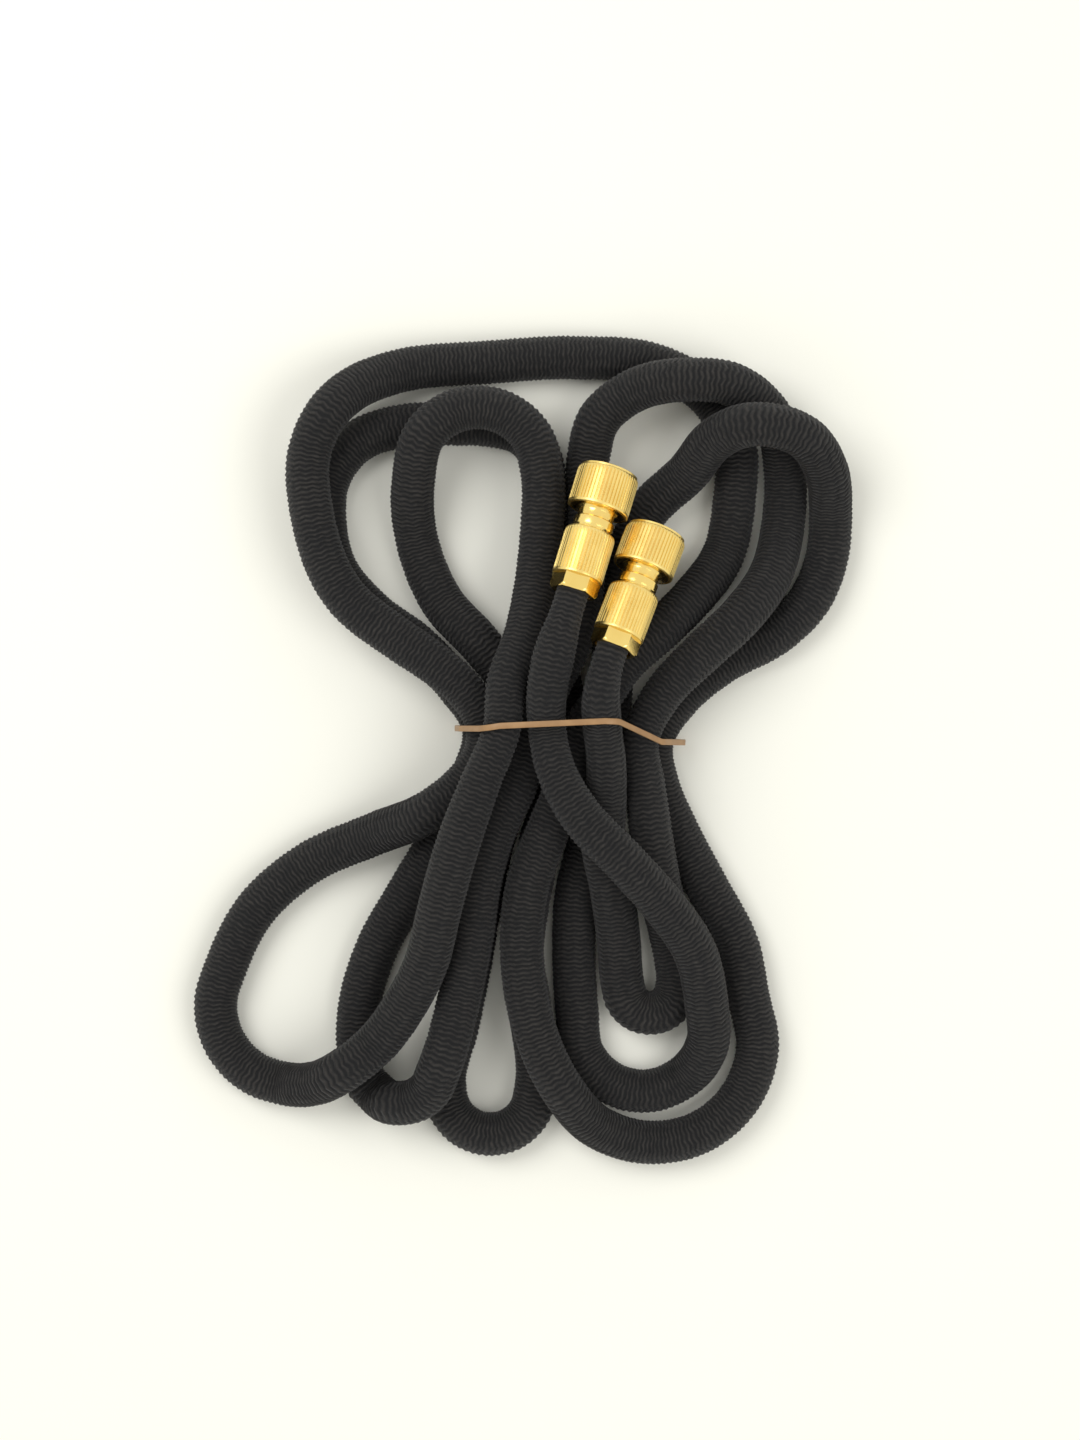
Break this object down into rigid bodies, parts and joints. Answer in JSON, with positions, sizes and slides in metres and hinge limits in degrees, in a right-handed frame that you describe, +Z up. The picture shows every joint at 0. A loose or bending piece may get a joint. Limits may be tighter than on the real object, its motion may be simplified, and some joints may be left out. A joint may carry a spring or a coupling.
{
  "type": "expandable garden hose",
  "caption": "Slack expandable garden hose in a black gathered sleeve, folded into a fanned hank with a rubber band, with a brass quick connector on each end.",
  "frame": {"origin": "on the floor under the centre of the hank's box", "axes": "the hank lies flat: +Y runs along the fan through the waist, towards the loops that hold the connectors, +X is square to it, +Z is up"},
  "size_m": [0.2684, 0.3378, 0.0593],
  "materials": {
    "sleeve": "matte woven",
    "latex": "matte",
    "band": "satin",
    "brass": "satin",
    "steel": "polished",
    "seal": "matte",
    "collet": "matte"
  },
  "bodies": {
    "hank": {"sleeve": "sleeve", "inner_tube": "latex", "waist_band": "band", "body_a": "brass", "retaining_clip_a": "brass", "o_ring_a": "seal", "return_spring_a": "steel", "body_b": "brass", "retaining_clip_b": "brass", "o_ring_b": "seal", "return_spring_b": "steel"},
    "washer_a": {"thrust_washer_a": "steel"},
    "collar_a": {"release_collar_a": "brass"},
    "lock_ball_1_a": {"ball_1_a": "steel"},
    "lock_ball_2_a": {"ball_2_a": "steel"},
    "lock_ball_3_a": {"ball_3_a": "steel"},
    "grip_a": {"collet_a": "collet"},
    "nut_a": {"hose_nut_a": "brass"},
    "washer_b": {"thrust_washer_b": "steel"},
    "collar_b": {"release_collar_b": "brass"},
    "lock_ball_1_b": {"ball_1_b": "steel"},
    "lock_ball_2_b": {"ball_2_b": "steel"},
    "lock_ball_3_b": {"ball_3_b": "steel"},
    "grip_b": {"collet_b": "collet"},
    "nut_b": {"hose_nut_b": "brass"}
  },
  "joints": [
    {"name": "collar_slide_a", "type": "slide", "parent": "hank", "child": "washer_a", "axis": [-0.286, -0.9354, 0.2079], "range_m": [0, 0.004], "stiffness_N_per_m": 2000, "springref_m": -0.003, "deforming": ["return_spring_a"]},
    {"name": "collar_spin_a", "type": "hinge", "parent": "washer_a", "child": "collar_a", "pos_m": [0.035, 0.1115, 0.039], "axis": [-0.286, -0.9354, 0.2079], "continuous": true},
    {"name": "ball_1_a_out", "type": "slide", "parent": "hank", "child": "lock_ball_1_a", "axis": [0.9563, -0.2924, 0], "range_m": [0, 0.00065]},
    {"name": "ball_2_a_out", "type": "slide", "parent": "hank", "child": "lock_ball_2_a", "axis": [-0.4255, 0.3184, 0.8471], "range_m": [0, 0.00065]},
    {"name": "ball_3_a_out", "type": "slide", "parent": "hank", "child": "lock_ball_3_a", "axis": [-0.5308, -0.026, -0.8471], "range_m": [0, 0.00065]},
    {"name": "grip_slide_a", "type": "slide", "parent": "hank", "child": "grip_a", "axis": [-0.286, -0.9354, 0.2079], "range_m": [0, 0.0042]},
    {"name": "nut_turn_a", "type": "hinge", "parent": "grip_a", "child": "nut_a", "pos_m": [0.02471, 0.07783, 0.04648], "axis": [-0.286, -0.9354, 0.2079], "range_deg": [0, 1080]},
    {"name": "collar_slide_b", "type": "slide", "parent": "hank", "child": "washer_b", "axis": [-0.3462, -0.9018, 0.2588], "range_m": [0, 0.004], "stiffness_N_per_m": 2000, "springref_m": -0.003, "deforming": ["return_spring_b"]},
    {"name": "collar_spin_b", "type": "hinge", "parent": "washer_b", "child": "collar_b", "pos_m": [0.054, 0.0875, 0.0365], "axis": [-0.3462, -0.9018, 0.2588], "continuous": true},
    {"name": "ball_1_b_out", "type": "slide", "parent": "hank", "child": "lock_ball_1_b", "axis": [0.9336, -0.3584, 0], "range_m": [0, 0.00065]},
    {"name": "ball_2_b_out", "type": "slide", "parent": "hank", "child": "lock_ball_2_b", "axis": [-0.3865, 0.3884, 0.8365], "range_m": [0, 0.00065]},
    {"name": "ball_3_b_out", "type": "slide", "parent": "hank", "child": "lock_ball_3_b", "axis": [-0.5471, -0.0301, -0.8365], "range_m": [0, 0.00065]},
    {"name": "grip_slide_b", "type": "slide", "parent": "hank", "child": "grip_b", "axis": [-0.3462, -0.9018, 0.2588], "range_m": [0, 0.0042]},
    {"name": "nut_turn_b", "type": "hinge", "parent": "grip_b", "child": "nut_b", "pos_m": [0.04154, 0.05504, 0.04582], "axis": [-0.3462, -0.9018, 0.2588], "range_deg": [0, 1080]}
  ],
  "couplings": [
    {"joint": "ball_1_a_out", "follows": "collar_slide_a", "ratio": 0.1624},
    {"joint": "ball_2_a_out", "follows": "collar_slide_a", "ratio": 0.1624},
    {"joint": "ball_3_a_out", "follows": "collar_slide_a", "ratio": 0.1624},
    {"joint": "nut_turn_a", "follows": "grip_slide_a", "rad_per_m": 4487.9},
    {"joint": "ball_1_b_out", "follows": "collar_slide_b", "ratio": 0.1624},
    {"joint": "ball_2_b_out", "follows": "collar_slide_b", "ratio": 0.1624},
    {"joint": "ball_3_b_out", "follows": "collar_slide_b", "ratio": 0.1624},
    {"joint": "nut_turn_b", "follows": "grip_slide_b", "rad_per_m": 4487.9}
  ]
}
